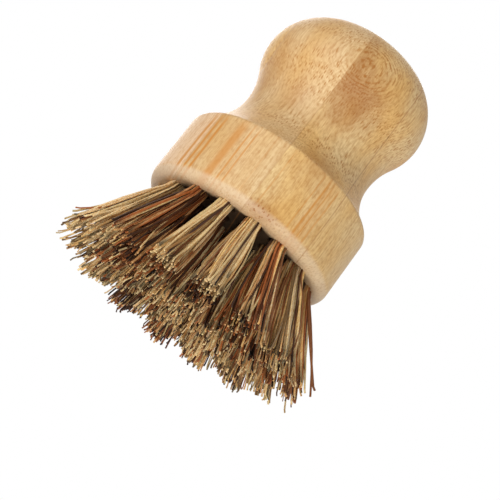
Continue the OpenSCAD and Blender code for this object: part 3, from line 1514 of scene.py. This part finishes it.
@dataclass(frozen=True)
class Lamp:
    """One soft square lamp.

    Attributes:
        name: Name of the lamp.
        place: Where it hangs, in metres.
        size: Side of its square, in metres.
        power: Its power, in watts.
    """

    name: str
    place: Triple
    size: float
    power: float

    def hang(self, aim: Vector) -> None:
        """Hangs the lamp.

        Args:
            aim: The point that it is turned to.
        """
        data = bpy.data.lights.new(self.name, "AREA")
        data.size = self.size
        data.energy = self.power
        lamp = bpy.data.objects.new(self.name, data)
        lamp.location = self.place
        lamp.rotation_mode = "QUATERNION"
        lamp.rotation_quaternion = (aim - Vector(self.place)).to_track_quat("-Z", "Y")
        bpy.context.scene.collection.objects.link(lamp)


@dataclass
class Studio:
    """The pale floor, the soft lamps and the camera of the photograph.

    Attributes:
        distance: Distance from the camera to the point that it is aimed by.
        scale: Pixels per metre at that distance.
        picture: Side of the square picture, in pixels.
        aim_z: Height of the point on the handle's axis that the camera is aimed by.
        aim_pixel: Pixel at which that point is seen.
        axis_roll: Direction of the handle's axis in the picture, in degrees above its right side.
        below: How far the camera looks up from below, in degrees.
        sensor: Width of the camera's sensor, in mm.
        floor_r: Radius of the floor, in metres.
        paper: Colour of the floor.
        glow: How white the floor is by itself at the brush and far away, from 0 to 1.
        glow_reach: Distances between which it turns white, in metres.
        soft_light: Strength of the light from all round.
        lamps: The lamps.
    """

    distance: float = 350.0 * MM
    scale: float = 4.205 / MM
    picture: float = 500.0
    aim_z: float = 37.5 * MM
    aim_pixel: tuple[float, float] = (269.5, 194.1)
    axis_roll: float = 53.0
    below: float = 19.5
    sensor: float = 36.0
    floor_r: float = 6.0
    paper: Colour = tone(244, 243, 241)
    glow: tuple[float, float] = (0.6, 1.0)
    glow_reach: tuple[float, float] = (0.05, 0.45)
    soft_light: float = 0.52
    lamps: tuple[Lamp, ...] = (
        Lamp("key", (-0.52, -0.48, 0.16), 0.25, 1.8),
        Lamp("front", (0.06, -0.50, -0.58), 0.25, 3.7),
        Lamp("back", (-0.15, 0.62, 0.42), 0.5, 2.6),
    )

    def camera(self) -> None:
        """Places the camera where the photograph was taken from."""
        roll, tilt = math.radians(self.axis_roll), math.radians(self.below)
        seen_z = Vector((math.cos(tilt) * math.cos(roll), math.cos(tilt) * math.sin(roll), -math.sin(tilt)))
        seen_x = Vector((math.sin(roll), -math.cos(roll), 0.0))
        to_object = Matrix((seen_x, seen_z.cross(seen_x), seen_z))
        focal = self.scale * self.distance
        half = self.picture / 2
        seen = Vector((
            (self.aim_pixel[0] - half) / focal * self.distance,
            (half - self.aim_pixel[1]) / focal * self.distance,
            -self.distance,
        ))
        place = Vector((0, 0, self.aim_z)) - to_object @ seen
        data = bpy.data.cameras.new("photo_camera")
        data.sensor_width = self.sensor
        data.lens = focal / self.picture * self.sensor
        data.clip_start = 0.01
        data.clip_end = 20.0
        camera = bpy.data.objects.new("photo_camera", data)
        camera.matrix_world = Matrix.Translation(place) @ to_object.to_4x4()
        bpy.context.scene.collection.objects.link(camera)
        bpy.context.scene.camera = camera

    def floor(self) -> None:
        """Lays a pale floor that is seen from above only and turns white far away."""
        deselect_all()
        bpy.ops.mesh.primitive_circle_add(vertices=96, radius=self.floor_r, fill_type="NGON")
        floor = bpy.context.object
        floor.name = "floor"
        floor.visible_shadow = False
        floor.visible_diffuse = False
        sheet = Sheet("floor")
        sheet.finish(self.paper, roughness=0.8)
        far = sheet.vector("LENGTH", sheet.coordinate("Object"))
        white = sheet.spread(sheet.ramp(far, *self.glow_reach), *self.glow)
        glowing = sheet.add("ShaderNodeEmission").outputs[0]
        clear = sheet.add("ShaderNodeBsdfTransparent").outputs[0]
        from_below = sheet.add("ShaderNodeNewGeometry").outputs["Backfacing"]
        above = sheet.mix_surfaces(white, sheet.surface.outputs[0], glowing)
        sheet.feed(sheet.output.inputs["Surface"], sheet.mix_surfaces(from_below, above, clear))
        floor.data.materials.append(sheet.material)
        floor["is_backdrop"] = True

    def world(self) -> None:
        """Makes the background white to the eye and a soft light to the object."""
        world = bpy.data.worlds.new("studio")
        bpy.context.scene.world = world
        world.use_nodes = True
        nodes, links = world.node_tree.nodes, world.node_tree.links
        soft, white = nodes["Background"], nodes.new("ShaderNodeBackground")
        for background, strength in ((soft, self.soft_light), (white, 1.0)):
            background.inputs["Color"].default_value = WHITE
            background.inputs["Strength"].default_value = strength
        rays = nodes.new("ShaderNodeLightPath").outputs
        seen = rays["Is Camera Ray"]
        for ray in ("Is Glossy Ray", "Is Transmission Ray"):
            either = nodes.new("ShaderNodeMath")
            either.operation = "MAXIMUM"
            links.new(seen, either.inputs[0])
            links.new(rays[ray], either.inputs[1])
            seen = either.outputs[0]
        mix = nodes.new("ShaderNodeMixShader")
        for socket, value in zip(mix.inputs, (seen, soft.outputs[0], white.outputs[0])):
            links.new(value, socket)
        links.new(mix.outputs[0], nodes["World Output"].inputs["Surface"])

    def build(self) -> None:
        """Sets up the whole studio."""
        bpy.context.scene.view_settings.view_transform = "Standard"
        self.camera()
        self.floor()
        self.world()
        for lamp in self.lamps:
            lamp.hang(Vector((0, 0, self.aim_z)))


def board_finishes() -> dict[str, BambooFinish]:
    """Chooses the finish of each board.

    Returns:
        The finishes, by CAD node.
    """
    glue_strengths = (0.2, 0.3, 0.5)
    left, middle, right = [(x / MM, s) for x, s in zip(frame_glue_lines(), glue_strengths)]
    pale = {"pith": tone(226, 196, 147), "warm": tone(218, 177, 115), "bundle": tone(180, 124, 60)}
    honey = {"pith": tone(232, 203, 148), "warm": tone(224, 179, 108), "bundle": tone(176, 120, 56)}
    pink = {"pith": tone(236, 204, 164), "warm": tone(230, 190, 140), "bundle": tone(194, 140, 86)}
    return {
        "ply_left_collar": BambooFinish(
            "bamboo_left_collar", "bamboo_pale", phase=11.0, glue=(left,), **pink,
            streaks=(Streak(-20.3, 0.45, 0.9),),
        ),
        "ply_left_knob": BambooFinish(
            "bamboo_left_knob", "bamboo_pale", phase=12.0, glue=(left,), **honey,
        ),
        "board_left": BambooFinish(
            "bamboo_left", "bamboo_pale", phase=23.0, glue=(left, middle), ring_strength=0.3, **pale,
            streaks=(
                Streak(-19.0, 0.4, 1.0), Streak(-17.8, 0.45, 1.0), Streak(-13.5, 1.5, 0.75),
                Streak(-11.2, 0.35, 0.8), Streak(-9.8, 0.35, 0.7), Streak(-5.5, 0.3, 0.25),
            ),
            blotches=(
                Blotch((-17, -8, 61), (5, 7, 12), 0.3), Blotch((-9, -15, 55), (4, 5, 5), 0.25),
            ),
        ),
        "board_right": BambooFinish(
            "bamboo_right", "bamboo_brown", phase=37.0, glue=(middle, right), **honey,
            streaks=(
                Streak(7.6, 0.3, 0.5), Streak(9.4, 0.4, 0.7), Streak(10.6, 0.25, 0.6),
                Streak(12.2, 0.35, 0.6), Streak(10.4, 2.6, 0.35), Streak(-0.8, 0.3, 0.4),
            ),
            blotches=(
                Blotch((2.0, -20, 61.5), (8, 9, 9), 0.85, 0.2),
                Blotch((-2.2, -20, 71), (4, 8, 9), 0.5, 0.2),
                Blotch((5.7, -22.5, 41), (5, 5, 6), 0.4),
                Blotch((1.2, -24.5, 23.6), (5, 3, 2.2), 0.9, 0.5),
            ),
            ring_strength=0.6,
        ),
        "ply_right": BambooFinish(
            "bamboo_far_right", "bamboo_brown", phase=53.0, glue=(right,), **honey,
            blotches=(Blotch((19.4, -9.1, 65.1), (2.2, 2.2, 2.6), 0.6, 0.8),),
        ),
    }


def main() -> None:
    """Builds the brush and its studio."""
    logging.basicConfig(level=logging.INFO, format="%(name)s %(message)s")
    collar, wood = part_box("ply_left_collar"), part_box("board_left")
    profile = TurnedProfile(collar_r=-collar[0].x, bottom_z=wood[0].z, top_z=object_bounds()[1].z)
    plan = TuftPlan(bottom_z=wood[0].z)
    Handle(profile, plan, board_finishes()).build()
    Tufts(plan, FibreFinish(), Disorder()).build()
    Staples(WireFinish()).build()
    Studio().build()


if __name__ == "__main__":
    main()
